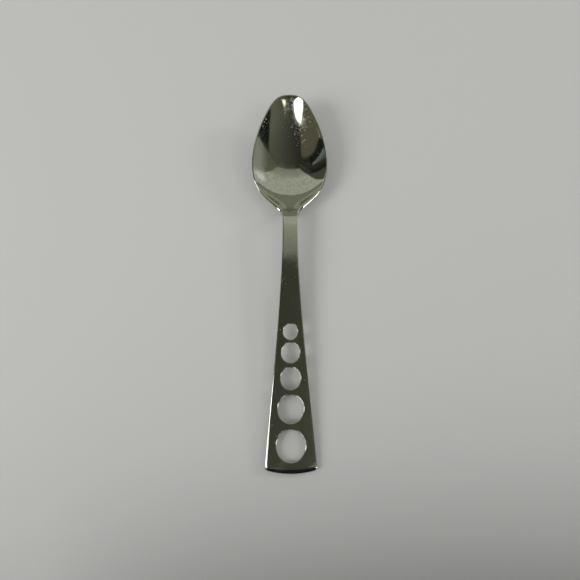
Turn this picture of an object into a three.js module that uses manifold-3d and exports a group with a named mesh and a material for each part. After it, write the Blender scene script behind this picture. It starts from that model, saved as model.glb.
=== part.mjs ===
// Pierced dinner spoon: one piece of stainless steel, cut as a flat blank, pierced with five
// holes down the handle, pressed to shape and polished.
// Millimetres. +X is the spoon's width, +Y points from the handle end to the bowl tip, +Z is up.
// The origin is under the middle of the spoon, on the table that it lies on.
import * as THREE from 'three';
import { mergeVertices } from 'three/addons/utils/BufferGeometryUtils.js';
import Module from 'manifold-3d';

// Lengths in plan, from the handle end to the shoulders and from there to the bowl tip
const handleLength = 130;
const bowlLength = 69.9;

// Outline of the handle
const handleEndWidth = 27;
const neckWidth = 8.1;
const endBow = 2;
const endCornerRadius = 2;
const endTaperEase = 0.08;
const neckTaperEase = 0.34;

// Outline of the bowl: its widest place and its cheeks are measured from the tip
const bowlWidth = 41;
const bowlWidestFromTip = 37;
const shoulderNeckEase = 0.41;
const shoulderBowlEase = 0.68;
const cheekFromTip = 15.5;
const cheekWidth = 31;
const cheekAngle = 24;
const cheekEase = 0.3;
const noseReach = 13.2;
const noseFlat = 13.1;

// Metal thickness, and how far in from the outline the edges are rolled over by polishing
const handleThickness = 2.3;
const neckThickness = 3;
const bowlThickness = 1.6;
const rimThickness = 1.2;
const handleEdgeRoll = 0.8;
const handleEndRoll = 2.6;
const rimRoll = 0.5;
const endRollRun = 12;

// Holes down the handle, from its end: the metal left before each hole, then the hole
const holes = [
  { margin: 6, width: 14.9, length: 16.2 },
  { margin: 3, width: 13.4, length: 14.2 },
  { margin: 2.7, width: 10.4, length: 11.2 },
  { margin: 2.5, width: 9.7, length: 10.2 },
  { margin: 1.8, width: 7.7, length: 7.9 },
];
const holeEdgeRadius = 0.45;

// Side view: a straight handle, an arched neck, the fall into the bowl and the rise to its tip
const handleAngle = 3.6;
const archStart = 104;
const archLength = 28;
const archRise = 0.95;
const archEndAngle = 18;
const archStartEase = 0.75;
const archEndEase = 0.14;
const floorFromTip = 47;
const heelStartEase = 0.16;
const heelEndEase = 0.5;
const frontStartEase = 0.26;
const frontEndEase = 0.3;
const tipHeight = 14.8;
const tipAngle = 31;
const rimTipAngle = 6.5;
const rimNeckEase = 0.17;
const rimTipEase = 0.5;
// Share of the bowl's depth that follows a fourth power, which squares its section a little
const bowlFullness = 0.18;

// Facets: points along each stretch of the outline, across half the width and round each edge
const endPoints = 5;
const cornerPoints = 4;
const handlePoints = 22;
const shoulderPoints = 16;
const bowlSidePoints = 6;
const nosePoints = 10;
const halfColumns = 7;
const edgeSteps = 6;
const holeSides = 40;
const holeEdgeSteps = 3;

// How finely the curves are searched and sloped, and how close points are joined
const searchSteps = 30;
const slopeStep = 0.05;
const joinDistance = 1e-4;

// Places along the spoon that follow from the lengths
const spoonLength = handleLength + bowlLength;
const widestAt = spoonLength - bowlWidestFromTip;
const cheekAt = spoonLength - cheekFromTip;
const floorAt = spoonLength - floorFromTip;
const archEnd = archStart + archLength;

const slope = (degrees) => Math.tan(THREE.MathUtils.degToRad(degrees));
const blend = (from, to, share) => from + (to - from) * THREE.MathUtils.smoothstep(share, 0, 1);

// A curve between two points with a slope at each end. An ease is the share of the run that the
// curve keeps close to that slope.
function eased([startX, startY], startSlope, startEase, [endX, endY], endSlope, endEase) {
  const run = endX - startX;
  return new THREE.CubicBezierCurve(
    new THREE.Vector2(startX, startY),
    new THREE.Vector2(startX + startEase * run, startY + startEase * run * startSlope),
    new THREE.Vector2(endX - endEase * run, endY - endEase * run * endSlope),
    new THREE.Vector2(endX, endY),
  );
}

// The height of a row of curves over a place along the spoon
function heightOver(curves, along) {
  const curve = curves.find((piece) => along <= piece.getPoint(1).x) ?? curves.at(-1);
  let low = 0;
  let high = 1;
  for (let step = 0; step < searchSteps; step += 1) {
    const middle = (low + high) / 2;
    if (curve.getPoint(middle).x < along) low = middle;
    else high = middle;
  }
  return curve.getPoint((low + high) / 2).y;
}

// Plan outline: half the width against the distance from the handle end
const handleSide = eased(
  [0, handleEndWidth / 2], 0, endTaperEase,
  [handleLength, neckWidth / 2], 0, neckTaperEase,
);
const shoulder = eased(
  [handleLength, neckWidth / 2], 0, shoulderNeckEase,
  [widestAt, bowlWidth / 2], 0, shoulderBowlEase,
);
const bowlSide = eased(
  [widestAt, bowlWidth / 2], 0, cheekEase,
  [cheekAt, cheekWidth / 2], -slope(cheekAngle), cheekEase,
);
const nose = new THREE.CubicBezierCurve(
  new THREE.Vector2(cheekAt, cheekWidth / 2),
  new THREE.Vector2(cheekAt + noseReach, cheekWidth / 2 - noseReach * slope(cheekAngle)),
  new THREE.Vector2(spoonLength, noseFlat / 2),
  new THREE.Vector2(spoonLength, 0),
);
const halfWidthCurves = [handleSide, shoulder, bowlSide, nose];

// Side view: the middle of the metal along the centre line, and along the bowl's rim
const handleStartHeight = handleThickness / 2 - slope(handleAngle) * handleEndRoll;
const archStartHeight = handleStartHeight + slope(handleAngle) * archStart;
const archEndHeight = archStartHeight + archRise;
const floorHeight = bowlThickness / 2;
const centreCurves = [
  new THREE.LineCurve(
    new THREE.Vector2(0, handleStartHeight),
    new THREE.Vector2(archStart, archStartHeight),
  ),
  eased(
    [archStart, archStartHeight], slope(handleAngle), archStartEase,
    [archEnd, archEndHeight], -slope(archEndAngle), archEndEase,
  ),
  eased(
    [archEnd, archEndHeight], -slope(archEndAngle), heelStartEase,
    [floorAt, floorHeight], 0, heelEndEase,
  ),
  eased(
    [floorAt, floorHeight], 0, frontStartEase,
    [spoonLength, tipHeight], slope(tipAngle), frontEndEase,
  ),
];
const rimCurves = [
  eased(
    [archEnd, archEndHeight], -slope(archEndAngle), rimNeckEase,
    [spoonLength, tipHeight], slope(rimTipAngle), rimTipEase,
  ),
];

// Height of the middle of the pressed metal over a point of the plan
function metalHeight(x, along) {
  const centre = heightOver(centreCurves, along);
  if (along <= archEnd) return centre;
  // Close to the tip, where width and depth both run out, their ratio is taken a little way back
  const place = Math.min(along, spoonLength - rimRoll);
  const depth = heightOver(rimCurves, place) - heightOver(centreCurves, place);
  const across = (x / heightOver(halfWidthCurves, place)) ** 2;
  const fullness = bowlFullness * Math.min(1, (spoonLength - place) / cheekFromTip) ** 2;
  return centre + depth * (across * (1 - fullness) + across * across * fullness);
}

// Metal thickness over a point of the plan
function metalThickness(x, along) {
  const neck = blend(handleThickness, neckThickness, (along - archStart) / (handleLength - archStart));
  const floor = blend(neck, bowlThickness, (along - handleLength) / (widestAt - handleLength));
  const halfWidth = heightOver(halfWidthCurves, Math.min(along, spoonLength - rimRoll));
  const across = Math.min(1, Math.abs(x) / halfWidth);
  const intoBowl = Math.min(1, (along - archEnd) / (floorAt - archEnd));
  return blend(floor, Math.min(floor, rimThickness), across * intoBowl);
}

// A point of the flat blank, pressed to shape: level runs from -1 on the underside to 1 on top
function pressed(x, along, level) {
  const acrossRise = metalHeight(x + slopeStep, along) - metalHeight(x - slopeStep, along);
  const alongRise = metalHeight(x, along + slopeStep) - metalHeight(x, along - slopeStep);
  const outward = new THREE.Vector3(-acrossRise, -alongRise, 2 * slopeStep).normalize();
  return new THREE.Vector3(x, along, metalHeight(x, along))
    .addScaledVector(outward, level * metalThickness(x, along) / 2);
}

// Half of the outline, from the middle of the handle end round to the tip
function halfOutline() {
  const cornerStart = handleEndWidth / 2 - endCornerRadius;
  const endAt = (x) => endBow * (x / (handleEndWidth / 2)) ** 2;
  const sideStart = endBow + endCornerRadius;
  const sideWidth = heightOver(halfWidthCurves, sideStart);
  const corner = new THREE.QuadraticBezierCurve(
    new THREE.Vector2(cornerStart, endAt(cornerStart)),
    new THREE.Vector2(sideWidth, endAt(sideWidth)),
    new THREE.Vector2(sideWidth, sideStart),
  );
  const points = [];
  for (let i = 0; i < endPoints; i += 1) {
    const x = cornerStart * i / endPoints;
    points.push(new THREE.Vector2(x, endAt(x)));
  }
  points.push(...corner.getPoints(cornerPoints));
  for (let i = 1; i < handlePoints; i += 1) {
    const along = sideStart + (handleLength - sideStart) * i / handlePoints;
    points.push(new THREE.Vector2(heightOver(halfWidthCurves, along), along));
  }
  const bowlStretches = [[shoulder, shoulderPoints], [bowlSide, bowlSidePoints], [nose, nosePoints]];
  for (const [curve, count] of bowlStretches) {
    points.push(...curve.getPoints(count).slice(0, -1).map(({ x, y }) => new THREE.Vector2(y, x)));
  }
  points.push(new THREE.Vector2(0, spoonLength));
  return points;
}

// The outline moved inward by a share of the width of the rolled edge
function inset(outline, share) {
  return outline.map((point, i) => {
    const before = outline[Math.max(0, i - 1)];
    const after = outline[Math.min(outline.length - 1, i + 1)];
    const way = after.clone().sub(before).normalize();
    if (point.x === 0) way.set(Math.sign(spoonLength / 2 - point.y), 0);
    const roll = blend(handleEdgeRoll, rimRoll, (point.y - handleLength) / (widestAt - handleLength));
    const endShare = Math.max(0, 1 - point.y / endRollRun) ** 2;
    return new THREE.Vector2(
      point.x - way.y * roll * share,
      point.y + (way.x * roll + (handleEndRoll - handleEdgeRoll) * endShare) * share,
    );
  });
}

// The pressed blank without its holes: a ring of points round the metal at each outline point
function blankGeometry() {
  const outline = halfOutline();
  const edge = [];
  for (let i = 0; i <= edgeSteps; i += 1) {
    const angle = Math.PI * (0.5 - i / edgeSteps);
    edge.push({ row: inset(outline, 1 - Math.cos(angle)), level: Math.sin(angle) });
  }
  const rings = outline.map((_, i) => {
    const face = edge[0].row[i];
    const ring = [];
    for (let column = -halfColumns + 1; column < halfColumns; column += 1) {
      ring.push(pressed(face.x * column / halfColumns, face.y, 1));
    }
    for (const { row, level } of edge) ring.push(pressed(row[i].x, row[i].y, level));
    for (let column = halfColumns - 1; column > -halfColumns; column -= 1) {
      ring.push(pressed(face.x * column / halfColumns, face.y, -1));
    }
    for (const { row, level } of edge.toReversed()) ring.push(pressed(-row[i].x, row[i].y, level));
    return ring;
  });
  const around = rings[0].length;
  const triangles = [];
  for (let i = 0; i + 1 < rings.length; i += 1) {
    for (let j = 0; j < around; j += 1) {
      const next = (j + 1) % around;
      const corners = [rings[i][j], rings[i][next], rings[i + 1][next], rings[i + 1][j]];
      triangles.push([corners[0], corners[1], corners[2]], [corners[0], corners[2], corners[3]]);
    }
  }
  return closedGeometry(triangles);
}

// One closed geometry from loose triangles, without those that have no width
function closedGeometry(triangles) {
  const positions = triangles.flat().flatMap((point) => point.toArray());
  const geometry = new THREE.BufferGeometry();
  geometry.setAttribute('position', new THREE.Float32BufferAttribute(positions, 3));
  const merged = mergeVertices(geometry, joinDistance);
  const corners = merged.index.array;
  const kept = [];
  for (let i = 0; i < corners.length; i += 3) {
    const [a, b, c] = corners.slice(i, i + 3);
    if (a !== b && b !== c && c !== a) kept.push(a, b, c);
  }
  merged.setIndex(kept);
  return merged;
}

// A hole's cutter: an oval post that flares at both faces, which leaves the hole's edges eased
function holeCutter(width, length) {
  const straight = handleThickness / 2 - holeEdgeRadius;
  const profile = [];
  for (let i = 0; i <= holeEdgeSteps; i += 1) {
    const angle = Math.PI / 2 * i / holeEdgeSteps;
    profile.push(new THREE.Vector2(
      holeEdgeRadius * (1 - Math.cos(angle)),
      straight + holeEdgeRadius * Math.sin(angle),
    ));
  }
  // The last facet runs on past the face of the metal
  const [inner, outer] = profile.slice(-2);
  profile.push(outer.clone().add(outer.clone().sub(inner)));
  profile.splice(-2, 1);
  const levels = [...profile.toReversed().map(({ x, y }) => new THREE.Vector2(x, -y)), ...profile];
  const rings = levels.map(({ x: flare, y: level }) => {
    const ring = [];
    for (let side = 0; side < holeSides; side += 1) {
      const angle = 2 * Math.PI * side / holeSides;
      ring.push(new THREE.Vector3(
        Math.cos(angle) * (width / 2 + flare),
        Math.sin(angle) * (length / 2 + flare),
        level,
      ));
    }
    return ring;
  });
  const triangles = [];
  for (let side = 0; side < holeSides; side += 1) {
    const next = (side + 1) % holeSides;
    for (let i = 0; i + 1 < rings.length; i += 1) {
      const corners = [rings[i][side], rings[i][next], rings[i + 1][next], rings[i + 1][side]];
      triangles.push([corners[0], corners[1], corners[2]], [corners[0], corners[2], corners[3]]);
    }
    const [bottom, top] = [levels[0].y, levels.at(-1).y].map((z) => new THREE.Vector3(0, 0, z));
    triangles.push([bottom, rings[0][next], rings[0][side]]);
    triangles.push([top, rings.at(-1)[side], rings.at(-1)[next]]);
  }
  return closedGeometry(triangles);
}

const wasm = await Module();
wasm.setup();

function solidOf(geometry) {
  return new wasm.Manifold(new wasm.Mesh({
    numProp: 3,
    vertProperties: new Float32Array(geometry.attributes.position.array),
    triVerts: new Uint32Array(geometry.index.array),
  }));
}

function geometryOf(solid) {
  const { vertProperties, triVerts } = solid.getMesh();
  const geometry = new THREE.BufferGeometry();
  geometry.setAttribute('position', new THREE.BufferAttribute(vertProperties, 3));
  geometry.setIndex(new THREE.BufferAttribute(triVerts, 1));
  return geometry;
}

// The blank with its five holes, laid so that it stands on z = 0 with its middle over the origin
function spoonGeometry() {
  let spoon = solidOf(blankGeometry());
  const handlePlane = new THREE.Matrix4()
    .makeRotationX(THREE.MathUtils.degToRad(handleAngle))
    .setPosition(0, 0, handleStartHeight);
  let travelled = 0;
  for (const { margin, width, length } of holes) {
    travelled += margin + length / 2;
    const cutter = holeCutter(width, length)
      .applyMatrix4(new THREE.Matrix4().makeTranslation(0, travelled, 0))
      .applyMatrix4(handlePlane);
    spoon = spoon.subtract(solidOf(cutter));
    travelled += length / 2;
  }
  const geometry = geometryOf(spoon);
  geometry.computeBoundingBox();
  const { min, max } = geometry.boundingBox;
  geometry.translate(-(min.x + max.x) / 2, -(min.y + max.y) / 2, -min.z);
  geometry.computeVertexNormals();
  return geometry;
}

const polishedSteel = new THREE.MeshStandardMaterial({
  color: 0xb7b8b0,
  metalness: 1,
  roughness: 0.12,
});

const spoon = new THREE.Mesh(spoonGeometry(), polishedSteel);
spoon.name = 'spoon';

const part = new THREE.Group();
part.add(spoon);

export default part;
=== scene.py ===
"""Looks of a pierced dinner spoon: one sheet of stainless steel, pierced, pressed and polished."""

import logging
import math
from dataclasses import dataclass, field
from enum import Enum
from typing import Any

import bmesh
import bpy
import numpy as np
from mathutils import Matrix, Vector


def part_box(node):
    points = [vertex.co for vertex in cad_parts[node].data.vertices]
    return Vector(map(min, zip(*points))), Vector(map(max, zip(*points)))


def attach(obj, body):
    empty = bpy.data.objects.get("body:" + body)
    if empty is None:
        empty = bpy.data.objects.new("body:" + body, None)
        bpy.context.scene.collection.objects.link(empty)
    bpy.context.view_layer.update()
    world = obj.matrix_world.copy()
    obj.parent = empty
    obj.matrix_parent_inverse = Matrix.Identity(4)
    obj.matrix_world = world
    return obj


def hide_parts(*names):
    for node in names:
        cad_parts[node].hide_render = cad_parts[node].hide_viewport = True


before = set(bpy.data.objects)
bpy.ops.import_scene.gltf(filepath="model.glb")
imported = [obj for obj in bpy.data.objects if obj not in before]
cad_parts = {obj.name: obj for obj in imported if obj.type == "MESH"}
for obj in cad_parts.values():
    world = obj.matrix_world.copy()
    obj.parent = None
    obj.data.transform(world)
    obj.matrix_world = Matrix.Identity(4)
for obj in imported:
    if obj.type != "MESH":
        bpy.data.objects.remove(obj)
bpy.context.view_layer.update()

MM = 0.001
IMAGE_SIZE = 580
log = logging.getLogger("spoon")

Colour = tuple[float, float, float]
Fade = tuple[float, float]
Spot = tuple[float, float]
Edge = tuple[Spot, Spot]


def slope(degrees: float) -> float:
    """Rise over run of an angle in degrees."""
    return math.tan(math.radians(degrees))


def smooth_blend(start: Any, end: Any, share: Any) -> Any:
    """Value between start and end that leaves both softly as share goes from 0 to 1."""
    share = np.clip(share, 0.0, 1.0)
    return start + (end - start) * share * share * (3 - 2 * share)


@dataclass(frozen=True)
class Stretch:
    """One cubic stretch of an outline or a side view, which always moves on along the spoon."""

    points: tuple[tuple[float, float], ...]
    halvings: int = 36

    @classmethod
    def eased(
        cls, start: tuple[float, float], start_slope: float, start_ease: float,
        end: tuple[float, float], end_slope: float, end_ease: float,
    ) -> "Stretch":
        """Joins two points with a slope kept near each end.

        Args:
            start: Place along the spoon and height of the first point.
            start_slope: Rise over run at the first point.
            start_ease: Share of the run that keeps close to the first slope.
            end: Place along the spoon and height of the last point.
            end_slope: Rise over run at the last point.
            end_ease: Share of the run that keeps close to the last slope.

        Returns:
            The stretch.
        """
        run = end[0] - start[0]
        leave = (start[0] + start_ease * run, start[1] + start_ease * run * start_slope)
        arrive = (end[0] - end_ease * run, end[1] - end_ease * run * end_slope)
        return cls((start, leave, arrive, end))

    @classmethod
    def straight(cls, start: tuple[float, float], end: tuple[float, float]) -> "Stretch":
        """Joins two points with a straight line."""
        rise = (end[1] - start[1]) / (end[0] - start[0])
        return cls.eased(start, rise, 1 / 3, end, rise, 1 / 3)

    def at(self, share: Any) -> tuple[Any, Any]:
        """Finds a point of the curve.

        Args:
            share: Share of the curve, from 0 at its start to 1 at its end.

        Returns:
            Place along the spoon and height.
        """
        rest = 1 - share
        weights = (rest**3, 3 * share * rest**2, 3 * share**2 * rest, share**3)
        along = sum(weight * point[0] for weight, point in zip(weights, self.points))
        height = sum(weight * point[1] for weight, point in zip(weights, self.points))
        return along, height

    def height(self, along: np.ndarray) -> np.ndarray:
        """Finds the height of the curve by halving its share.

        Args:
            along: Places along the spoon, in millimetres.

        Returns:
            One height for each place.
        """
        low = np.zeros_like(along)
        high = np.ones_like(along)
        for _ in range(self.halvings):
            middle = (low + high) / 2
            short = self.at(middle)[0] < along
            low = np.where(short, middle, low)
            high = np.where(short, high, middle)
        return self.at((low + high) / 2)[1]


def height_over(stretches: list[Stretch], along: np.ndarray) -> np.ndarray:
    """Finds the height of a row of stretches.

    Args:
        stretches: The stretches, in order.
        along: Places along the spoon, in millimetres.

    Returns:
        One height for each place.
    """
    height = stretches[-1].height(along)
    for stretch in reversed(stretches[:-1]):
        height = np.where(along <= stretch.points[-1][0], stretch.height(along), height)
    return height


@dataclass(frozen=True)
class Hole:
    """An oval hole in the handle, with the metal left before it, in millimetres."""

    margin: float
    width: float
    length: float


class Signal:
    """A shader number that takes part in Python expressions, each adding its Math node."""

    def __init__(self, sheet: "NodeSheet", socket: bpy.types.NodeSocket) -> None:
        """Wraps an output socket of the sheet."""
        self.sheet = sheet
        self.socket = socket

    def _math(self, operation: str, *values: Any) -> "Signal":
        """Adds one Math node on the given values and returns its result."""
        node = self.sheet.node("ShaderNodeMath", {"operation": operation}, dict(enumerate(values)))
        return Signal(self.sheet, node.outputs[0])

    def __add__(self, other: Any) -> "Signal":
        """Sum."""
        return self._math("ADD", self, other)

    def __radd__(self, other: Any) -> "Signal":
        """Sum, reflected."""
        return self._math("ADD", other, self)

    def __sub__(self, other: Any) -> "Signal":
        """Difference."""
        return self._math("SUBTRACT", self, other)

    def __rsub__(self, other: Any) -> "Signal":
        """Difference, reflected."""
        return self._math("SUBTRACT", other, self)

    def __mul__(self, other: Any) -> "Signal":
        """Product."""
        return self._math("MULTIPLY", self, other)

    def __rmul__(self, other: Any) -> "Signal":
        """Product, reflected."""
        return self._math("MULTIPLY", other, self)

    def __truediv__(self, other: Any) -> "Signal":
        """Quotient."""
        return self._math("DIVIDE", self, other)

    def __abs__(self) -> "Signal":
        """Size without its sign."""
        return self._math("ABSOLUTE", self)

    def most(self, other: Any) -> "Signal":
        """The larger of two values."""
        return self._math("MAXIMUM", self, other)

    def root(self) -> "Signal":
        """Square root."""
        return self._math("SQRT", self)

    def ridge(self) -> "Signal":
        """1 where the value is a half, falling to 0 where it is 0 or 1."""
        return self * (1 - self) * 4

    def rises(self, start: float, end: float) -> "Signal":
        """Makes a soft step, which falls where end lies below start.

        Args:
            start: Value at which the step is 0.
            end: Value at which the step is 1.

        Returns:
            The step.
        """
        node = self.sheet.node(
            "ShaderNodeMapRange", {"interpolation_type": "SMOOTHSTEP"},
            {"Value": self, "From Min": min(start, end), "From Max": max(start, end)},
        )
        step = Signal(self.sheet, node.outputs[0])
        return step if end > start else 1 - step


class NodeSheet:
    """The nodes of one material or of the world."""

    def __init__(self, tree: bpy.types.NodeTree) -> None:
        """Empties the tree and takes it over."""
        self.tree = tree
        tree.nodes.clear()

    def node(
        self, kind: str, settings: dict[str, Any] | None = None,
        sockets: dict[str | int, Any] | None = None,
    ) -> bpy.types.Node:
        """Adds a node, sets it up and fills its input sockets.

        Args:
            kind: Blender's name of the node type.
            settings: Properties of the node, set first.
            sockets: Values, signals or output sockets for the inputs, by name or number.

        Returns:
            The node.
        """
        made = self.tree.nodes.new(kind)
        for name, value in (settings or {}).items():
            setattr(made, name, value)
        for name, value in (sockets or {}).items():
            if isinstance(value, Signal):
                value = value.socket
            if isinstance(value, bpy.types.NodeSocket):
                self.tree.links.new(value, made.inputs[name])
            elif made.inputs[name].type == "RGBA":
                made.inputs[name].default_value = (*value, 1)
            else:
                made.inputs[name].default_value = value
        return made

    def parts(self, vector: bpy.types.NodeSocket) -> list[Signal]:
        """The x, y and z of a vector."""
        split = self.node("ShaderNodeSeparateXYZ", sockets={0: vector})
        return [Signal(self, output) for output in split.outputs]

    def noise(self, place: bpy.types.NodeSocket, scale: float, detail: float) -> Signal:
        """Plain noise with a scale in waves per unit of the place."""
        sockets = {"Vector": place, "Scale": scale, "Detail": detail}
        return Signal(self, self.node("ShaderNodeTexNoise", sockets=sockets).outputs["Fac"])

    def mix(self, share: Any, first: Any, second: Any) -> bpy.types.NodeSocket:
        """Colour between first and second, each a plain colour or a socket."""
        sockets = {"Factor": share, 6: first, 7: second}
        return self.node("ShaderNodeMix", {"data_type": "RGBA"}, sockets).outputs[2]

    def stretched(
        self, vector: bpy.types.NodeSocket, turn: float, scale: tuple[float, float, float]
    ) -> bpy.types.NodeSocket:
        """Turns a vector about Z and then stretches it, for streaks that run one way.

        Args:
            vector: The vector.
            turn: The angle, in degrees.
            scale: The factors along X, Y and Z.

        Returns:
            The new vector.
        """
        sockets = {"Vector": vector, "Rotation": (0, 0, math.radians(turn))}
        turned = self.node("ShaderNodeMapping", sockets=sockets).outputs[0]
        return self.node("ShaderNodeMapping", sockets={"Vector": turned, "Scale": scale}).outputs[0]


@dataclass(frozen=True)
class PolishedSteel:
    """Mirror-polished stainless steel that has been used: fine scratches, specks and dull spots.

    Scales of noise are in waves per metre. The scratch depth is in millimetres, and so is each
    worn place: where it lies across and along the spoon from its middle, and its radius.
    """

    tint: Colour = (0.62, 0.625, 0.575)
    gloss: float = 0.04

    scratch_turns: tuple[float, ...] = (12, 71, 128, 163)
    scratch_stretch: tuple[float, float, float] = (1, 0.03, 0.4)
    scratch_scale: float = 900
    scratch_scale_step: float = 170
    scratch_width: float = 0.022
    scratch_patch_scale: float = 60
    scratch_patch_step: float = 13
    scratch_patch_fade: Fade = (0.45, 0.65)
    scratch_roughness: float = 0.12
    scratch_strength: float = 0.12
    scratch_depth: float = 0.02

    speck_scale: float = 1500
    speck_edge: Fade = (0.42, 0.24)
    speck_patch_scale: float = 300
    speck_patch_fade: Fade = (0.35, 0.65)
    speck_share: float = 0.012
    worn_speck_share: float = 0.75
    speck_share_soft: float = 0.02
    speck_roughness: float = 0.3
    speck_tint: Colour = (0.75, 0.76, 0.73)
    speck_cover: float = 0.5

    haze_scale: float = 90
    haze_fade: Fade = (0.42, 0.72)
    haze_roughness: float = 0.07
    worn_places: tuple[tuple[float, float, float], ...] = (
        (5.5, 81.0, 9.0), (7.0, 91.0, 7.0), (-2.5, 93.5, 7.0), (-12.5, 87.0, 8.0),
        (-4.0, 12.0, 4.0), (-5.0, -2.0, 5.0), (-7.0, -16.0, 5.0), (-8.0, -28.0, 5.0),
    )

    def material(self) -> bpy.types.Material:
        """Makes the material.

        Returns:
            The material, on Object coordinates in metres.
        """
        steel = bpy.data.materials.new("polished_steel")
        steel.use_nodes = True
        sheet = NodeSheet(steel.node_tree)
        place = sheet.node("ShaderNodeTexCoord").outputs["Object"]
        worn = self._worn(sheet, place)
        scratches = self._scratches(sheet, place)
        specks = self._specks(sheet, place, worn)
        haze = sheet.noise(place, self.haze_scale, 3).rises(*self.haze_fade) * worn
        roughness = (
            self.gloss + self.scratch_roughness * scratches
            + self.speck_roughness * specks + self.haze_roughness * haze
        )
        colour = sheet.mix(specks * self.speck_cover, self.tint, self.speck_tint)
        bump = sheet.node("ShaderNodeBump", sockets={
            "Strength": self.scratch_strength, "Distance": self.scratch_depth * MM,
            "Height": scratches,
        })
        shader = sheet.node("ShaderNodeBsdfPrincipled", sockets={
            "Base Color": colour, "Metallic": 1.0, "Roughness": roughness, "Normal": bump.outputs[0],
        })
        sheet.node("ShaderNodeOutputMaterial", sockets={"Surface": shader.outputs[0]})
        return steel

    def _scratches(self, sheet: NodeSheet, place: bpy.types.NodeSocket) -> Signal:
        """Draws fine straight scratches that cross at several angles.

        Args:
            sheet: The material's nodes.
            place: The place on the spoon.

        Returns:
            1 on a scratch.
        """
        together: Signal | None = None
        for number, turn in enumerate(self.scratch_turns):
            streak = sheet.stretched(place, turn, self.scratch_stretch)
            wave = sheet.noise(streak, self.scratch_scale + self.scratch_scale_step * number, 2)
            line = abs(wave - 0.5).rises(self.scratch_width, 0.0)
            patch_scale = self.scratch_patch_scale + self.scratch_patch_step * number
            patch = sheet.noise(place, patch_scale, 1).rises(*self.scratch_patch_fade)
            together = line * patch if together is None else together.most(line * patch)
        return together

    def _worn(self, sheet: NodeSheet, place: bpy.types.NodeSocket) -> Signal:
        """Marks the places that use has roughened most, each a soft round patch.

        Args:
            sheet: The material's nodes.
            place: The place on the spoon.

        Returns:
            1 at the middle of a patch.
        """
        x, y, _ = sheet.parts(place)
        together: Signal | None = None
        for across, along, radius in self.worn_places:
            off_x = x - across * MM
            off_y = y - along * MM
            away = (off_x * off_x + off_y * off_y).root()
            patch = away.rises(radius * MM, 0.0)
            together = patch if together is None else together.most(patch)
        return together

    def _specks(self, sheet: NodeSheet, place: bpy.types.NodeSocket, worn: Signal) -> Signal:
        """Scatters small dried specks, thickest in the worn places.

        Args:
            sheet: The material's nodes.
            place: The place on the spoon.
            worn: How worn the place is.

        Returns:
            1 on a speck.
        """
        sockets = {"Vector": place, "Scale": self.speck_scale}
        cells = sheet.node("ShaderNodeTexVoronoi", {"feature": "F1"}, sockets)
        dots = Signal(sheet, cells.outputs["Distance"]).rises(*self.speck_edge)
        chance = sheet.parts(cells.outputs["Color"])[0]
        patches = sheet.noise(place, self.speck_patch_scale, 2).rises(*self.speck_patch_fade)
        share = self.speck_share + self.worn_speck_share * worn * patches
        return dots * (share - chance).rises(-self.speck_share_soft, self.speck_share_soft)


@dataclass(frozen=True)
class MatteSurface:
    """Smooth surface with next to no shine, as on the table and the card."""

    name: str
    colour: Colour
    roughness: float = 0.6
    shine: float = 0.2

    def material(self) -> bpy.types.Material:
        """Makes the material.

        Returns:
            The material.
        """
        surface = bpy.data.materials.new(self.name)
        surface.use_nodes = True
        sheet = NodeSheet(surface.node_tree)
        shader = sheet.node("ShaderNodeBsdfPrincipled", sockets={
            "Base Color": self.colour, "Roughness": self.roughness, "Specular IOR Level": self.shine,
        })
        sheet.node("ShaderNodeOutputMaterial", sockets={"Surface": shader.outputs[0]})
        return surface


class Side(Enum):
    """The two faces of the flat blank."""

    TOP = 1
    UNDER = -1


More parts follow.
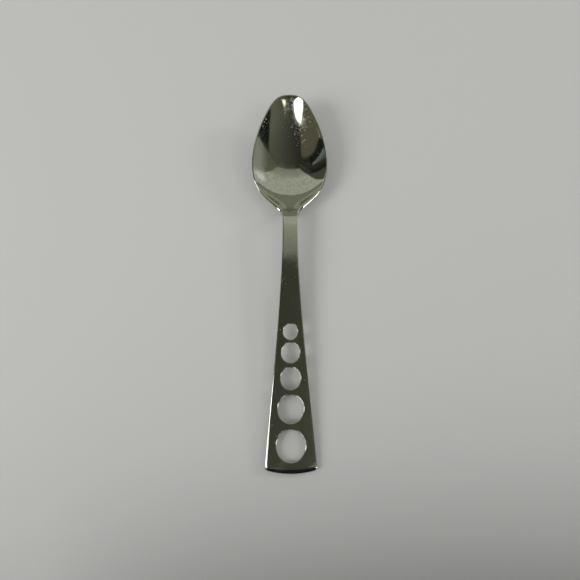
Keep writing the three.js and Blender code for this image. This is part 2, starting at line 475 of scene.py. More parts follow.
@dataclass
class PiercedSpoon:
    """The spoon, made as the real one is: a flat blank, pierced, pressed to shape and polished.

    All sizes are in millimetres and degrees.
    """

    handle_length: float = 130
    bowl_length: float = 69.9
    handle_end_width: float = 27
    neck_width: float = 8.1
    end_bow: float = 2
    end_corner_radius: float = 2
    end_taper_ease: float = 0.08
    neck_taper_ease: float = 0.34
    bowl_width: float = 41
    bowl_widest_from_tip: float = 37
    shoulder_neck_ease: float = 0.41
    shoulder_bowl_ease: float = 0.68
    cheek_from_tip: float = 15.5
    cheek_width: float = 31
    cheek_angle: float = 24
    cheek_ease: float = 0.3
    nose_reach: float = 13.2
    nose_flat: float = 13.1

    handle_thickness: float = 2.3
    neck_thickness: float = 3
    neck_swell_start: float = 80
    bowl_thickness: float = 1.6
    rim_thickness: float = 1.2
    handle_edge_roll: float = 0.8
    handle_end_roll: float = 2.6
    rim_roll: float = 0.5
    end_roll_run: float = 12

    holes: tuple[Hole, ...] = (
        Hole(6, 14.9, 16.2), Hole(3, 13.4, 14.2), Hole(2.7, 10.4, 11.2),
        Hole(2.5, 9.7, 10.2), Hole(1.8, 7.7, 7.9),
    )
    hole_edge_radius: float = 0.3

    handle_angle: float = 3.6
    arch_start: float = 104
    arch_length: float = 28
    arch_rise: float = 0.95
    arch_start_angle: float = 2.8
    arch_start_ease: float = 0.79
    arch_end_angle: float = 18
    arch_end_ease: float = 0.04
    floor_from_tip: float = 47
    heel_start_ease: float = 0.16
    heel_end_ease: float = 0.5
    front_start_ease: float = 0.26
    front_end_ease: float = 0.3
    tip_height: float = 14.8
    tip_angle: float = 31
    rim_tip_angle: float = 6.5
    rim_neck_ease: float = 0.17
    rim_tip_ease: float = 0.5
    bowl_fullness: float = 0.18

    end_points: int = 12
    corner_points: int = 8
    handle_points: int = 150
    shoulder_points: int = 64
    bowl_side_points: int = 34
    nose_points: int = 44
    half_columns: int = 30
    edge_steps: int = 10
    hole_sides: int = 96
    hole_edge_steps: int = 6
    normal_step: float = 0.02
    merge_distance: float = 0.0001
    crease_angle: float = 40

    finish: PolishedSteel = field(default_factory=PolishedSteel)

    def __post_init__(self) -> None:
        """Works out the places and curves that follow from the sizes."""
        self.length = self.handle_length + self.bowl_length
        self.widest_at = self.length - self.bowl_widest_from_tip
        self.floor_at = self.length - self.floor_from_tip
        self.arch_end = self.arch_start + self.arch_length
        self.half_widths = self._half_width_curves()
        self.centre = self._centre_curves()
        self.rim = self._rim_curves()

    def _half_width_curves(self) -> list[Stretch]:
        """Draws half of the plan's outline.

        Returns:
            The handle's side, the shoulder, the bowl's side and the nose.
        """
        cheek_at = self.length - self.cheek_from_tip
        end = (0, self.handle_end_width / 2)
        neck = (self.handle_length, self.neck_width / 2)
        widest = (self.widest_at, self.bowl_width / 2)
        cheek = (cheek_at, self.cheek_width / 2)
        fall = slope(self.cheek_angle)
        nose = Stretch((
            cheek,
            (cheek_at + self.nose_reach, self.cheek_width / 2 - self.nose_reach * fall),
            (self.length, self.nose_flat / 2),
            (self.length, 0),
        ))
        return [
            Stretch.eased(end, 0, self.end_taper_ease, neck, 0, self.neck_taper_ease),
            Stretch.eased(neck, 0, self.shoulder_neck_ease, widest, 0, self.shoulder_bowl_ease),
            Stretch.eased(widest, 0, self.cheek_ease, cheek, -fall, self.cheek_ease),
            nose,
        ]

    def _centre_curves(self) -> list[Stretch]:
        """Draws the side view of the middle of the metal along the centre line.

        Returns:
            The handle, the arch, the bowl's heel and its front.
        """
        rise = slope(self.handle_angle)
        fall = -slope(self.arch_end_angle)
        end_height = self.handle_thickness / 2 - rise * self.handle_end_roll
        start = (self.arch_start, end_height + rise * self.arch_start)
        top = (self.arch_end, start[1] + self.arch_rise)
        floor = (self.floor_at, self.bowl_thickness / 2)
        tip = (self.length, self.tip_height)
        return [
            Stretch.straight((0, end_height), start),
            Stretch.eased(
                start, slope(self.arch_start_angle), self.arch_start_ease,
                top, fall, self.arch_end_ease,
            ),
            Stretch.eased(top, fall, self.heel_start_ease, floor, 0, self.heel_end_ease),
            Stretch.eased(
                floor, 0, self.front_start_ease, tip, slope(self.tip_angle), self.front_end_ease
            ),
        ]

    def _rim_curves(self) -> list[Stretch]:
        """Draws the side view of the middle of the metal along the bowl's rim.

        Returns:
            The one stretch from the arch to the tip.
        """
        top = self.centre[1].points[-1]
        tip = self.centre[-1].points[-1]
        return [Stretch.eased(
            top, -slope(self.arch_end_angle), self.rim_neck_ease,
            tip, slope(self.rim_tip_angle), self.rim_tip_ease,
        )]

    def metal_height(self, x: np.ndarray, along: np.ndarray) -> np.ndarray:
        """Works out the height of the middle of the pressed metal.

        Args:
            x: Places across the plan.
            along: Places along the plan.

        Returns:
            One height for each place.
        """
        centre = height_over(self.centre, along)
        place = np.minimum(along, self.length - self.rim_roll)
        depth = height_over(self.rim, place) - height_over(self.centre, place)
        across = (x / height_over(self.half_widths, place)) ** 2
        near_tip = np.minimum(1, (self.length - place) / self.cheek_from_tip)
        fullness = self.bowl_fullness * near_tip**2
        bowl = centre + depth * (across * (1 - fullness) + across * across * fullness)
        return np.where(along <= self.arch_end, centre, bowl)

    def metal_thickness(self, x: np.ndarray, along: np.ndarray) -> np.ndarray:
        """Works out the thickness of the metal.

        Args:
            x: Places across the plan.
            along: Places along the plan.

        Returns:
            One thickness for each place.
        """
        neck_share = (along - self.neck_swell_start) / (self.handle_length - self.neck_swell_start)
        neck = smooth_blend(self.handle_thickness, self.neck_thickness, neck_share)
        floor_share = (along - self.handle_length) / (self.widest_at - self.handle_length)
        floor = smooth_blend(neck, self.bowl_thickness, floor_share)
        half_width = height_over(self.half_widths, np.minimum(along, self.length - self.rim_roll))
        across = np.minimum(1, np.abs(x) / half_width)
        into_bowl = np.minimum(1, (along - self.arch_end) / (self.floor_at - self.arch_end))
        return smooth_blend(floor, np.minimum(floor, self.rim_thickness), across * into_bowl)

    def pressed(self, x: np.ndarray, along: np.ndarray, level: np.ndarray) -> np.ndarray:
        """Presses points of the flat blank to shape.

        Args:
            x: Places across the blank.
            along: Places along the blank.
            level: Heights over the blank's middle.

        Returns:
            One pressed point for each point of the blank.
        """
        step = self.normal_step
        reach_x = self.metal_height(x + step, along) - self.metal_height(x - step, along)
        reach_along = self.metal_height(x, along + step) - self.metal_height(x, along - step)
        outward = np.stack([-reach_x, -reach_along, np.full_like(x, 2 * step)], -1)
        outward /= np.linalg.norm(outward, axis=-1, keepdims=True)
        middle = np.stack([x, along, self.metal_height(x, along)], -1)
        return middle + outward * level[..., None]

    def _half_outline(self) -> np.ndarray:
        """Walks half of the outline.

        Returns:
            Its points in plan, from the middle of the handle end round to the tip.
        """
        half_end = self.handle_end_width / 2
        corner_start = half_end - self.end_corner_radius
        side_start = self.end_bow + self.end_corner_radius
        side_width = float(height_over(self.half_widths, np.array([side_start]))[0])

        def end_at(x: float) -> float:
            """Place along the spoon of its bowed end at x."""
            return self.end_bow * (x / half_end) ** 2

        points = []
        for number in range(self.end_points):
            x = corner_start * number / self.end_points
            points.append((x, end_at(x)))
        first = Vector((corner_start, end_at(corner_start)))
        peak = Vector((side_width, end_at(side_width)))
        last = Vector((side_width, side_start))
        for number in range(self.corner_points + 1):
            share = number / self.corner_points
            round_to = first.lerp(peak, share).lerp(peak.lerp(last, share), share)
            points.append(tuple(round_to))
        side = np.linspace(side_start, self.handle_length, self.handle_points + 1)[1:-1]
        points += list(zip(height_over(self.half_widths, side), side))
        counts = (self.shoulder_points, self.bowl_side_points, self.nose_points)
        for stretch, count in zip(self.half_widths[1:], counts):
            for number in range(count):
                place, half_width = stretch.at(number / count)
                points.append((half_width, place))
        points.append((0, self.length))
        return np.array(points, float)

    def _inset(self, outline: np.ndarray, share: float) -> np.ndarray:
        """Moves the outline inward over the rolled edge.

        Args:
            outline: Half of the outline.
            share: Share of the rolled edge's width.

        Returns:
            The moved points.
        """
        before = np.vstack([outline[:1], outline[:-1]])
        after = np.vstack([outline[1:], outline[-1:]])
        way = after - before
        way /= np.linalg.norm(way, axis=1, keepdims=True)
        way[0] = (1, 0)
        way[-1] = (-1, 0)
        place = outline[:, 1]
        bowl_share = (place - self.handle_length) / (self.widest_at - self.handle_length)
        roll = smooth_blend(self.handle_edge_roll, self.rim_roll, bowl_share)
        end_share = np.maximum(0, 1 - place / self.end_roll_run) ** 2
        end_roll = (self.handle_end_roll - self.handle_edge_roll) * end_share
        moved = np.stack([-way[:, 1] * roll, way[:, 0] * (roll + end_roll)], -1)
        return outline + moved * share

    def _blank_points(self) -> np.ndarray:
        """Lays out the flat blank as a ring round the metal at each point of the outline.

        Returns:
            The points, by place in the outline and place in the ring.
        """
        outline = self._half_outline()
        turns = np.pi * (0.5 - np.arange(self.edge_steps + 1) / self.edge_steps)
        rows = [self._inset(outline, 1 - math.cos(turn)) for turn in turns]
        face = rows[0]
        inner = np.arange(-self.half_columns + 1, self.half_columns) / self.half_columns
        columns = []
        for share in inner:
            columns.append((face[:, 0] * share, face[:, 1], Side.TOP.value))
        for row, turn in zip(rows, turns):
            columns.append((row[:, 0], row[:, 1], math.sin(turn)))
        for share in inner[::-1]:
            columns.append((face[:, 0] * share, face[:, 1], Side.UNDER.value))
        for row, turn in zip(rows[::-1], turns[::-1]):
            columns.append((-row[:, 0], row[:, 1], math.sin(turn)))
        columns.append(columns[0])
        points = np.empty((len(outline), len(columns), 3))
        for number, (x, along, level) in enumerate(columns):
            points[:, number, 0] = x
            points[:, number, 1] = along
            points[:, number, 2] = level * self.metal_thickness(x, along) / 2
        return points

    def _cut_blank(self) -> bpy.types.Object:
        """Rolls a plain grid round the metal as the flat blank, with its seam and ends closed.

        Returns:
            The blank.
        """
        points = self._blank_points()
        rows, columns = points.shape[:2]
        bpy.ops.object.select_all(action="DESELECT")
        bpy.ops.mesh.primitive_grid_add(x_subdivisions=columns - 1, y_subdivisions=rows - 1, size=1)
        blank = bpy.context.object
        blank.name = "spoon_pressed"
        blank.data.name = "spoon_pressed"
        blank.data.vertices.foreach_set("co", (points * MM).ravel())
        blank.data.update()
        bpy.ops.object.mode_set(mode="EDIT")
        bpy.ops.mesh.select_all(action="SELECT")
        bpy.ops.mesh.remove_doubles(threshold=self.merge_distance * MM)
        bpy.ops.mesh.dissolve_degenerate(threshold=self.merge_distance / 10 * MM)
        bpy.ops.mesh.normals_make_consistent(inside=False)
        bpy.ops.object.mode_set(mode="OBJECT")
        return blank

    def _hole_punch(self, hole: Hole, place: float) -> bpy.types.Object:
        """Makes an oval punch that flares at both faces, so that the hole's edges come out rounded.

        Args:
            hole: The hole.
            place: Place along the blank of its centre.

        Returns:
            The punch.
        """
        straight = self.handle_thickness / 2 - self.hole_edge_radius
        bpy.ops.object.select_all(action="DESELECT")
        bpy.ops.mesh.primitive_cylinder_add(
            vertices=self.hole_sides, radius=1, depth=2 * straight * MM, end_fill_type="NGON",
            location=(0, place * MM, 0), scale=(hole.width / 2 * MM, hole.length / 2 * MM, 1),
        )
        punch = bpy.context.object
        bpy.ops.object.transform_apply(location=True, rotation=True, scale=True)
        steps = self.hole_edge_steps
        turns = [math.pi / 2 * number / steps for number in range(steps)]
        flares = [self.hole_edge_radius * (1 - math.cos(turn)) for turn in turns]
        rises = [self.hole_edge_radius * math.sin(turn) for turn in turns]
        flares.append(2 * flares[-1] - flares[-2])
        rises.append(2 * rises[-1] - rises[-2])
        for side in Side:
            self._select_cap(punch, side)
            for number in range(1, len(flares)):
                rise = (rises[number] - rises[number - 1]) * MM * side.value
                spread_x = self._spread(hole.width, flares[number - 1], flares[number])
                spread_along = self._spread(hole.length, flares[number - 1], flares[number])
                bpy.ops.mesh.extrude_region_move(TRANSFORM_OT_translate={"value": (0, 0, rise)})
                bpy.ops.transform.resize(value=(spread_x, spread_along, 1))
            bpy.ops.object.mode_set(mode="OBJECT")
        return punch

    @staticmethod
    def _spread(across: float, before: float, after: float) -> float:
        """Scale that takes an oval from one flare to the next."""
        return (across / 2 + after) / (across / 2 + before)

    @staticmethod
    def _select_cap(punch: bpy.types.Object, side: Side) -> None:
        """Leaves edit mode open with only the punch's end face on one side selected.

        Args:
            punch: The punch.
            side: The side.
        """
        bpy.ops.object.mode_set(mode="EDIT")
        bpy.ops.mesh.select_mode(type="FACE")
        bpy.ops.mesh.select_all(action="DESELECT")
        shell = bmesh.from_edit_mesh(punch.data)
        straight_on = 0.99
        for face in shell.faces:
            face.select = face.normal.z * side.value > straight_on
        bmesh.update_edit_mesh(punch.data)

    def _pierce(self, blank: bpy.types.Object) -> None:
        """Punches the row of holes, starting at the handle's end.

        Args:
            blank: The flat blank.
        """
        travelled = 0.0
        flat = math.cos(math.radians(self.handle_angle))
        for number, hole in enumerate(self.holes, start=1):
            in_plan = Hole(hole.margin * flat, hole.width, hole.length * flat)
            travelled += in_plan.margin + in_plan.length / 2
            punch = self._hole_punch(in_plan, travelled)
            self._apply(blank, "BOOLEAN", {
                "operation": "DIFFERENCE", "solver": "EXACT", "object": punch,
            })
            bpy.data.objects.remove(punch, do_unlink=True)
            travelled += in_plan.length / 2
            log.info("hole %d: %.1f by %.1f mm", number, hole.width, hole.length)

    @staticmethod
    def _apply(piece: bpy.types.Object, kind: str, settings: dict[str, Any]) -> None:
        """Adds one modifier to a piece and applies it.

        Args:
            piece: The piece.
            kind: Blender's name of the modifier type.
            settings: Properties of the modifier.
        """
        bpy.ops.object.select_all(action="DESELECT")
        piece.select_set(True)
        bpy.context.view_layer.objects.active = piece
        modifier = piece.modifiers.new(kind.lower(), kind)
        for name, value in settings.items():
            setattr(modifier, name, value)
        bpy.ops.object.modifier_apply(modifier=modifier.name)

    def _press(self, blank: bpy.types.Object) -> None:
        """Presses the pierced blank to shape and lays it where the frame's spoon lies.

        Args:
            blank: The pierced blank.
        """
        mesh = blank.data
        flat = np.empty(len(mesh.vertices) * 3)
        mesh.vertices.foreach_get("co", flat)
        flat = flat.reshape(-1, 3) / MM
        shaped = self.pressed(flat[:, 0], flat[:, 1], flat[:, 2])
        low, high = (np.array(corner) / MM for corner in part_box("spoon"))
        shaped[:, 1] += (low[1] + high[1] - shaped[:, 1].min() - shaped[:, 1].max()) / 2
        shaped[:, 2] += low[2] - shaped[:, 2].min()
        mesh.vertices.foreach_set("co", (shaped * MM).ravel())
        mesh.update()

    def _polish(self, spoon: bpy.types.Object) -> None:
        """Smooths the shading, with the broad faces leading at the edges of the holes.

        Args:
            spoon: The pressed spoon.
        """
        bpy.ops.object.select_all(action="DESELECT")
        spoon.select_set(True)
        bpy.context.view_layer.objects.active = spoon
        bpy.ops.object.shade_smooth_by_angle(angle=math.radians(self.crease_angle))
        self._apply(spoon, "WEIGHTED_NORMAL", {"mode": "FACE_AREA", "keep_sharp": True})

    def build(self) -> bpy.types.Object:
        """Makes the spoon's mesh.

        Returns:
            The spoon, at the origin with its place in its mesh.
        """
        spoon = self._cut_blank()
        self._pierce(spoon)
        self._press(spoon)
        self._polish(spoon)
        return spoon

    def dress(self, spoon: bpy.types.Object) -> None:
        """Gives the spoon its finish and ties it to the frame.

        Args:
            spoon: The spoon.
        """
        spoon.data.materials.clear()
        spoon.data.materials.append(self.finish.material())
        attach(spoon, "root")
        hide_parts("spoon")


class RoomSheet(NodeSheet):
    """The world's nodes, which paint the room layer by layer by where each direction lies.

    A direction is given as a spot: its run across the spoon and its run along the spoon, each
    for a rise of 1. Straight edges of the room are straight lines between spots. Near the horizon
    the rise is taken as no less than lowest_rise.
    """

    lowest_rise: float = 0.02

    def __init__(self, tree: bpy.types.NodeTree, ground: Colour) -> None:
        """Empties the tree, works out the spot of each direction and starts on a plain ground.

        Args:
            tree: The world's node tree.
            ground: The colour under all others.
        """
        super().__init__(tree)
        self.colour: Any = ground
        self.way = self.node("ShaderNodeTexCoord").outputs["Generated"]
        self.x, self.y, self.z = self.parts(self.way)
        up = self.z.most(self.lowest_rise)
        self.across = self.x / up
        self.along = self.y / up

    def lay(self, share: Signal, colour: Any) -> None:
        """Lays a colour over all that is painted so far."""
        self.colour = self.mix(share, self.colour, colour)

    def side(self, edge: Edge, soft: float) -> Signal:
        """Tells on which side of an edge a direction lies.

        Args:
            edge: Two spots on the edge.
            soft: Width over which the edge fades, in radians.

        Returns:
            1 on the left of the edge, walking from its first spot to its second.
        """
        first, second = (Vector((*spot, 1)) for spot in edge)
        normal = first.cross(second).normalized()
        sockets = {0: self.way, 1: normal}
        dot = self.node("ShaderNodeVectorMath", {"operation": "DOT_PRODUCT"}, sockets)
        return Signal(self, dot.outputs["Value"]).rises(-soft, soft)

    def zone(self, edges: tuple[Edge, ...], soft: float) -> Signal:
        """Bounds a zone by its edges.

        Args:
            edges: The edges, each with the zone on its left.
            soft: Width over which they fade, in radians.

        Returns:
            1 inside the zone.
        """
        share = self.side(edges[0], soft)
        for edge in edges[1:]:
            share = share * self.side(edge, soft)
        return share

    def area(self, spots: tuple[Spot, ...], soft: float) -> Signal:
        """Bounds a bulging area.

        Args:
            spots: Its corners, in order.
            soft: Width over which its edges fade, in radians.

        Returns:
            1 inside the area.
        """
        centre = Vector((0, 0))
        for spot in spots:
            centre += Vector(spot) / len(spots)
        edges = []
        for first, second in zip(spots, spots[1:] + spots[:1]):
            turn = (Vector(second) - Vector(first)).cross(centre - Vector(first))
            edges.append((first, second) if turn > 0 else (second, first))
        return self.zone(tuple(edges), soft)


@dataclass(frozen=True)
class RoomPaint:
    """Colours of the room that the metal mirrors, as linear light."""

    shade_dark: Colour = (0.022, 0.022, 0.017)
    shade_light: Colour = (0.144, 0.15, 0.112)
    shade_middle: Colour = (0.11, 0.115, 0.08)
    shade_line: Colour = (0.022, 0.024, 0.014)
    black: Colour = (0.01, 0.013, 0.01)
    olive: Colour = (0.115, 0.109, 0.072)
    deep_olive: Colour = (0.03, 0.032, 0.02)
    streak_light: Colour = (0.18, 0.2, 0.195)
    under_groove: Colour = (0.074, 0.077, 0.052)
    wall_low: Colour = (0.118, 0.122, 0.082)
    wall_high: Colour = (0.285, 0.295, 0.25)
    ceiling_low: Colour = (0.27, 0.28, 0.22)
    ceiling: Colour = (0.46, 0.475, 0.39)
    far_end: Colour = (0.205, 0.212, 0.157)
    near_side: Colour = (0.014, 0.014, 0.016)
    horizon: Colour = (0.02, 0.021, 0.018)
    pale_patch: Colour = (0.73, 0.76, 0.72)
    ceiling_lamp: Colour = (3.4, 3.4, 3.2)
    window: Colour = (8.0, 8.1, 8.0)
    lamp: Colour = (2.8, 2.7, 2.1)


@dataclass
class Room:
    """What the polished metal mirrors, painted from the back to the front.

    A fade gives the two places between which a tone comes in, across or along the spoon.
    """

    paint: RoomPaint = field(default_factory=RoomPaint)
    plain: float = 0.47
    soft: float = 0.012

    shade_along_fade: Fade = (-0.02, -0.3)
    shade_across_fade: Fade = (-0.6, 0.9)
    black_edge: Edge = ((0.83, 0.0), (1.05, -0.294))
    black_soft: float = 0.03
    near_edge: Edge = ((1.0, -0.53), (-1.0, -0.53))
    near_soft: float = 0.06
    olive_area: tuple[Spot, ...] = (
        (-0.37, -1.0), (-0.37, 0.0), (-0.4, 0.025), (-0.54, 0.042), (-0.95, 0.048), (-6.0, 0.05),
    )
    olive_along_fade: Fade = (0.1, 0.07)

    left_along_fade: Fade = (0.08, 0.11)
    left_across_fade: Fade = (-0.3, -0.4)
    streak_foot: float = 0.19
    streak_top: float = 0.03
    streak_slant: float = -0.19
    streak_least_reach: float = 0.01
    streak_fade: Fade = (0.0, 1.1)
    streak_across_fade: Fade = (-0.9, -1.0)
    groove: Edge = ((-2.96, 0.854), (-1.28, 0.409))
    groove_soft: float = 0.055
    black_area: tuple[Spot, ...] = (
        (-0.77, 0.075), (-0.77, 0.114), (-0.83, 0.154), (-0.99, 0.171), (-1.59, 0.191),
        (-2.2, 0.191), (-6.0, 0.19), (-6.0, -0.12), (-1.9, -0.045),
    )

    wall_edges: tuple[Edge, ...] = (
        ((0.34, 0.105), (0.83, 0.013)), ((0.83, 0.013), (2.4, -0.05)),
    )
    wall_across_fade: Fade = (0.7, 1.75)
    wall_start_fade: Fade = (0.3, 0.35)
    wall_line_soft: float = 0.05
    wall_line_fade: Fade = (0.14, -0.05)

    shade_edge: Edge = ((-0.3, 0.131), (0.34, 0.113))
    left_edges: tuple[Edge, ...] = (
        ((-0.79, 0.368), (-0.3, 0.128)), ((-4.32, 2.6), (-0.79, 0.368)),
    )
    right_edge: Edge = ((0.34, 0.105), (3.17, 1.165))
    ceiling_fade: Fade = (0.15, 0.37)
    cloud_scale: float = 15
    cloud_fade: Fade = (0.3, 0.7)
    cloud_floor: float = 0.35
    cloud_reach: float = 1.1
    end_start: float = 1.136
    end_slant: float = 0.48
    end_round: float = 0.3
    patch_area: tuple[Spot, ...] = (
        (1.3, 0.5), (3.1, 1.1), (3.3, 1.6), (1.9, 1.15), (1.3, 0.75),
    )
    patch_soft: float = 0.08
    horizon_fade: Fade = (0.19, 0.06)

    window_areas: tuple[tuple[Spot, ...], ...] = (
        ((-2.7, -0.1), (-40.0, -1.5), (-40.0, -13.5), (-2.7, -0.9)),
        ((1.85, -0.7), (40.0, -15.2), (40.0, -29.0), (1.85, -1.34)),
    )
    ceiling_lamp_area: tuple[Spot, ...] = (
        (-0.07, -0.5), (-0.13, -0.4), (-0.2, -0.315), (-0.26, -0.272), (-0.34, -0.255),
        (-0.44, -0.257), (-0.54, -0.28), (-0.63, -0.315), (-0.66, -0.35), (-0.6, -0.5),
        (-0.2, -0.56),
    )
    lamp_area: tuple[Spot, ...] = (
        (0.08, -0.53), (0.08, -0.45), (0.11, -0.41), (0.18, -0.375), (0.23, -0.395),
        (0.24, -0.43), (0.2, -0.47), (0.17, -0.53),
    )

    def light_world(self) -> None:
        """Paints the room for mirrored rays and a plain sky for all others."""
        world = bpy.data.worlds.new("room")
        bpy.context.scene.world = world
        world.use_nodes = True
        sheet = RoomSheet(world.node_tree, self.paint.shade_dark)
        self._paint_shade(sheet)
        self._paint_left_wall(sheet)
        self._paint_right_wall(sheet)
        self._paint_ceiling(sheet)
        self._paint_lights(sheet)
        mirrored = Signal(sheet, sheet.node("ShaderNodeLightPath").outputs["Is Glossy Ray"])
        colour = sheet.mix(mirrored, (self.plain, self.plain, self.plain), sheet.colour)
        glow = sheet.node("ShaderNodeBackground", sockets={"Color": colour, "Strength": 1.0})
        sheet.node("ShaderNodeOutputWorld", sockets={"Surface": glow.outputs[0]})

    def _paint_shade(self, sheet: RoomSheet) -> None:
        """Paints the dim zone over the bowl, black on its right and olive on its left.

        Args:
            sheet: The world's nodes.
        """
        paint = self.paint
        lit = sheet.along.rises(*self.shade_along_fade)
        light = sheet.mix(lit, paint.shade_middle, paint.shade_light)
        sheet.lay(sheet.across.rises(*self.shade_across_fade), light)
        sheet.lay(sheet.side(self.black_edge, self.black_soft), paint.black)
        sheet.lay(sheet.side(self.near_edge, self.near_soft), paint.near_side)
        olive = sheet.area(self.olive_area, self.soft) * sheet.along.rises(*self.olive_along_fade)
        sheet.lay(olive, paint.olive)

    def _paint_left_wall(self, sheet: RoomSheet) -> None:
        """Paints the dark left wall and the black band at its foot.

        Args:
            sheet: The world's nodes.
        """
        over_foot = sheet.along.rises(*self.left_along_fade)
        beside = sheet.across.rises(*self.left_across_fade)
        sheet.lay(over_foot * beside, self._left_wall_colour(sheet))
        sheet.lay(sheet.area(self.black_area, self.soft), self.paint.black)

    def _left_wall_colour(self, sheet: RoomSheet) -> bpy.types.NodeSocket:
        """Mixes the left wall, with a lighter streak low down and a thin groove above it.

        Args:
            sheet: The world's nodes.

        Returns:
            The wall's colour.
        """
        paint = self.paint
        reach = self.streak_top + self.streak_slant * sheet.across - self.streak_foot
        height = (sheet.along - self.streak_foot) / reach.most(self.streak_least_reach)
        streak = (1 - height.rises(*self.streak_fade)) * sheet.across.rises(*self.streak_across_fade)
        colour = sheet.mix(streak, paint.deep_olive, paint.streak_light)
        over = sheet.side(self.groove, self.groove_soft)
        colour = sheet.mix(over, colour, paint.under_groove)
        return sheet.mix(over.ridge(), colour, paint.black)

    def _paint_right_wall(self, sheet: RoomSheet) -> None:
        """Paints the right wall, lighter towards its right, with a dark line along its foot.

        Args:
            sheet: The world's nodes.
        """
        paint = self.paint
        wall = sheet.mix(sheet.across.rises(*self.wall_across_fade), paint.wall_low, paint.wall_high)
        at_wall = sheet.across.rises(*self.wall_start_fade)
        foot = sheet.zone(self.wall_edges, self.wall_line_soft).ridge()
        sheet.lay(foot * at_wall * sheet.along.rises(*self.wall_line_fade), paint.shade_line)
        sheet.lay(sheet.zone(self.wall_edges, self.soft) * at_wall, wall)

    def _paint_ceiling(self, sheet: RoomSheet) -> None:
        """Paints the pale ceiling with its sloping edges, the far end, a pale patch and the horizon.

        Args:
            sheet: The world's nodes.
        """
        paint = self.paint
        edges = (self.shade_edge, *self.left_edges, self.right_edge)
        clouds = sheet.noise(sheet.way, self.cloud_scale, 3).rises(*self.cloud_fade)
        light = sheet.along.rises(*self.ceiling_fade) * (self.cloud_floor + self.cloud_reach * clouds)
        plaster = sheet.mix(light, paint.ceiling_low, paint.ceiling)
        sheet.lay(sheet.zone(edges, self.soft), plaster)
        bend = (sheet.x * sheet.x + self.end_round**2 * (sheet.z * sheet.z)).root()
        end = sheet.y - self.end_start * sheet.z - self.end_slant * bend
        sheet.lay(end.rises(-self.soft, self.soft), paint.far_end)
        sheet.lay(sheet.area(self.patch_area, self.patch_soft), paint.pale_patch)
        sheet.lay(sheet.z.rises(*self.horizon_fade), paint.horizon)

    def _paint_lights(self, sheet: RoomSheet) -> None:
        """Paints the windows, the ceiling lamp and the small lamp.

        Args:
            sheet: The world's nodes.
        """
        for area in self.window_areas:
            sheet.lay(sheet.area(area, self.soft), self.paint.window)
        sheet.lay(sheet.area(self.ceiling_lamp_area, self.soft), self.paint.ceiling_lamp)
        sheet.lay(sheet.area(self.lamp_area, self.soft), self.paint.lamp)


@dataclass(frozen=True)
class Lamp:
    """A square lamp that faces the spoon's middle.

    Its azimuth runs from +X towards +Y and its elevation up from the table, in degrees. Its
    distance and its side are in metres and its power is in watts.
    """

    name: str
    azimuth: float
    elevation: float
    distance: float
    side: float
    power: float

    def add(self) -> None:
        """Adds the lamp to the scene, unseen by the polished metal."""
        light = bpy.data.lights.new(self.name, "AREA")
        light.shape = "SQUARE"
        light.size = self.side
        light.energy = self.power
        lamp = bpy.data.objects.new(self.name, light)
        lamp.visible_glossy = False
        bpy.context.collection.objects.link(lamp)
        turn, lift = math.radians(self.azimuth), math.radians(self.elevation)
        way = Vector((math.cos(turn) * math.cos(lift), math.sin(turn) * math.cos(lift), math.sin(lift)))
        lamp.location = way * self.distance
        lamp.rotation_euler = (-way).to_track_quat("-Z", "Y").to_euler()


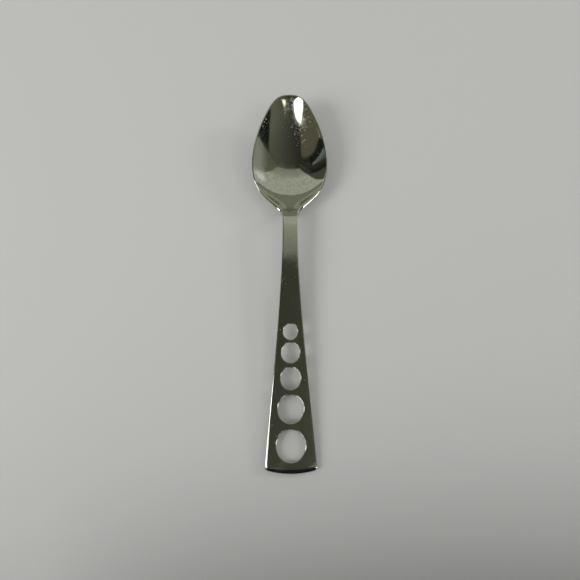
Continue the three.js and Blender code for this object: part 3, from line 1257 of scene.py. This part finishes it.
@dataclass
class Studio:
    """The table, the lamps and the camera, in metres and degrees unless said otherwise."""

    table_side: float = 6
    table_finish: MatteSurface = MatteSurface("pale_table", (0.62, 0.62, 0.6))
    card_place: tuple[float, float, float] = (0.15, -0.35, 0.11)
    card_size: tuple[float, float] = (0.7, 0.4)
    card_finish: MatteSurface = MatteSurface("dark_card", (0.02, 0.02, 0.02))
    lamps: tuple[Lamp, ...] = (
        Lamp("main_lamp", 197, 34.5, 1.3, 0.6, 7.3),
        Lamp("low_lamp", 20, 19, 1.5, 0.2, 4.2),
        Lamp("side_lamp", 350, 42, 1.4, 0.3, 1.4),
    )
    focal_pixels: float = 435
    camera_place_mm: tuple[float, float, float] = (-0.13, -42.46, 232.6)
    camera_tilt: float = 9
    camera_roll: float = -0.24
    sensor_mm: float = 36
    clip_start: float = 0.01

    def lay_table(self) -> None:
        """Lays the table top."""
        bpy.ops.object.select_all(action="DESELECT")
        bpy.ops.mesh.primitive_plane_add(size=self.table_side, location=(0, 0, 0))
        table = bpy.context.object
        table.name = "table"
        table.data.materials.append(self.table_finish.material())

    def hang_card(self) -> None:
        """Hangs a dark card over the near side, unseen itself, which shades the table there."""
        bpy.ops.object.select_all(action="DESELECT")
        bpy.ops.mesh.primitive_plane_add(size=1, location=self.card_place)
        card = bpy.context.object
        card.name = "card"
        bpy.ops.transform.resize(value=(*self.card_size, 1))
        bpy.ops.object.transform_apply(location=True, rotation=True, scale=True)
        card.data.materials.append(self.card_finish.material())
        card.visible_glossy = False
        card.visible_camera = False

    def light(self) -> None:
        """Adds the main lamp on the left and the weaker, lower ones on the right."""
        for lamp in self.lamps:
            lamp.add()

    def aim_camera(self) -> None:
        """Adds the camera over the spoon, with a small tilt towards the bowl."""
        lens = bpy.data.cameras.new("camera")
        lens.sensor_width = self.sensor_mm
        lens.lens = self.focal_pixels / IMAGE_SIZE * self.sensor_mm
        lens.clip_start = self.clip_start
        camera = bpy.data.objects.new("camera", lens)
        bpy.context.collection.objects.link(camera)
        tilt = Matrix.Rotation(math.radians(self.camera_tilt), 4, "X")
        roll = Matrix.Rotation(math.radians(self.camera_roll), 4, "Z")
        place = Matrix.Translation(Vector(self.camera_place_mm) * MM)
        camera.matrix_world = place @ tilt @ roll
        bpy.context.scene.camera = camera


def main() -> None:
    """Builds the studio and the spoon in order."""
    logging.basicConfig(level=logging.INFO, format="%(name)s: %(message)s")
    bpy.context.scene.view_settings.view_transform = "Standard"
    studio = Studio()
    studio.aim_camera()
    studio.lay_table()
    studio.hang_card()
    studio.light()
    Room().light_world()
    maker = PiercedSpoon()
    spoon = maker.build()
    maker.dress(spoon)
    log.info("%s: %d faces", spoon.name, len(spoon.data.polygons))


if __name__ == "__main__":
    main()
